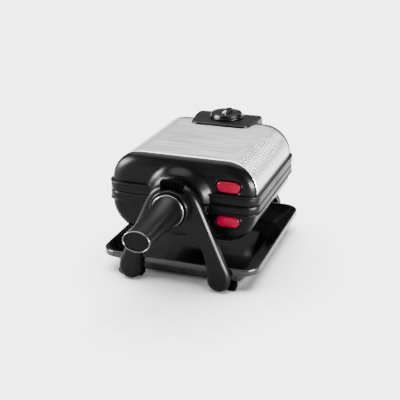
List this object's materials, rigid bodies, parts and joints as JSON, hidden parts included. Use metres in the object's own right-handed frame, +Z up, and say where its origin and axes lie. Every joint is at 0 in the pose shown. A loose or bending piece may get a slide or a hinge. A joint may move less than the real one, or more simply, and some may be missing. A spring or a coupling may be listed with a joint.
{
  "type": "turning waffle maker",
  "caption": "Tabletop waffle maker whose square two-half baking unit turns over between front and rear arch stands, with a front handle, a rear-hinged lid, a dial and a drip tray.",
  "frame": {"origin": "centre of the overall box in x and y, on the plane the feet stand on", "axes": "+Z up, -Y towards the user and the handle, +X to the user's right; the unit turns about Y"},
  "size_m": [0.2328, 0.441, 0.1934],
  "materials": {
    "stand_black": "satin black moulded resin",
    "shell_black": "satin black moulded resin",
    "rim_black": "satin dark grey moulded resin",
    "handle_black": "fine matt black resin",
    "cap_black": "matt black",
    "button_red": "glossy red",
    "cover_steel": "fine brushed, clear",
    "bright_trim": "polished",
    "cast_plate": "dark non-stick coating on cast aluminium",
    "cast_journal": "machined casting",
    "reflector_sheet": "bright sheet",
    "plain_steel": "plain steel",
    "bush_brass": "sintered bush",
    "foot_rubber": "matt rubber",
    "tray_black": "glossy black",
    "dial_black": "satin black",
    "pointer_white": "pale grey",
    "heel_black": "matt black",
    "ceramic_block": "plain white ceramic"
  },
  "bodies": {
    "stand": {"front_stand": "stand_black", "rear_stand": "stand_black", "rail_left": "plain_steel", "rail_right": "plain_steel", "heel_front_left": "heel_black", "heel_front_right": "heel_black", "heel_rear_left": "heel_black", "heel_rear_right": "heel_black", "foot_front_left": "foot_rubber", "foot_front_right": "foot_rubber", "foot_rear_left": "foot_rubber", "foot_rear_right": "foot_rubber", "heel_screws": "plain_steel", "front_bush": "bush_brass", "rear_bush": "bush_brass", "cord_gland": "stand_black", "latch_spring": "plain_steel"},
    "latch": {"latch_button": "heel_black"},
    "tray": {"drip_tray": "tray_black"},
    "rotor": {"lower_shell": "shell_black", "lower_rim": "rim_black", "lower_plate": "cast_plate", "lower_heater": "plain_steel", "lower_reflector": "reflector_sheet", "front_journal": "cast_journal", "journal_bolts": "plain_steel", "collar": "bright_trim", "handle_grip": "handle_black", "handle_end_ring": "bright_trim", "handle_end_cap": "cap_black", "handle_bolt": "plain_steel", "rear_journal": "plain_steel", "hinge_bracket": "plain_steel", "hinge_pin": "plain_steel", "thermal_fuse": "ceramic_block", "terminal_block": "ceramic_block", "shell_screws": "plain_steel", "lower_button_spring": "plain_steel"},
    "lid": {"upper_rim": "rim_black", "upper_plate": "cast_plate", "upper_heater": "plain_steel", "upper_reflector": "reflector_sheet", "front_cap": "shell_black", "stainless_cover": "cover_steel", "rear_cap": "shell_black", "dial_plate": "dial_black", "thermostat": "plain_steel", "upper_button_spring": "plain_steel"},
    "dial": {"knob": "dial_black", "knob_pointer": "pointer_white", "spindle": "plain_steel"},
    "upper_release": {"upper_button": "button_red"},
    "lower_release": {"lower_button": "button_red"}
  },
  "joints": [
    {"name": "unit_turn", "type": "hinge", "parent": "stand", "child": "rotor", "pos_m": [0, 0.0455, 0.12], "axis": [0, 1, 0], "range_deg": [-180, 0]},
    {"name": "lid_hinge", "type": "hinge", "parent": "rotor", "child": "lid", "pos_m": [0, 0.1695, 0.16], "axis": [-1, 0, 0], "range_deg": [0, 95]},
    {"name": "dial_turn", "type": "hinge", "parent": "lid", "child": "dial", "pos_m": [0, 0.1495, 0.1819], "axis": [0, 0, -1], "range_deg": [0, 270]},
    {"name": "upper_release_press", "type": "slide", "parent": "lid", "child": "upper_release", "axis": [0, 1, 0], "range_m": [0, 0.003], "stiffness_N_per_m": 600, "springref_m": -0.003, "deforming": ["upper_button_spring"]},
    {"name": "lower_release_press", "type": "slide", "parent": "rotor", "child": "lower_release", "axis": [0, 1, 0], "range_m": [0, 0.003], "stiffness_N_per_m": 600, "springref_m": -0.003, "deforming": ["lower_button_spring"]},
    {"name": "turn_lock_press", "type": "slide", "parent": "stand", "child": "latch", "axis": [0, 0, -1], "range_m": [0, 0.003], "stiffness_N_per_m": 600, "springref_m": -0.003, "deforming": ["latch_spring"]},
    {"name": "tray_slide", "type": "slide", "parent": "stand", "child": "tray", "axis": [1, 0, 0], "range_m": [0, 0.3]}
  ]
}
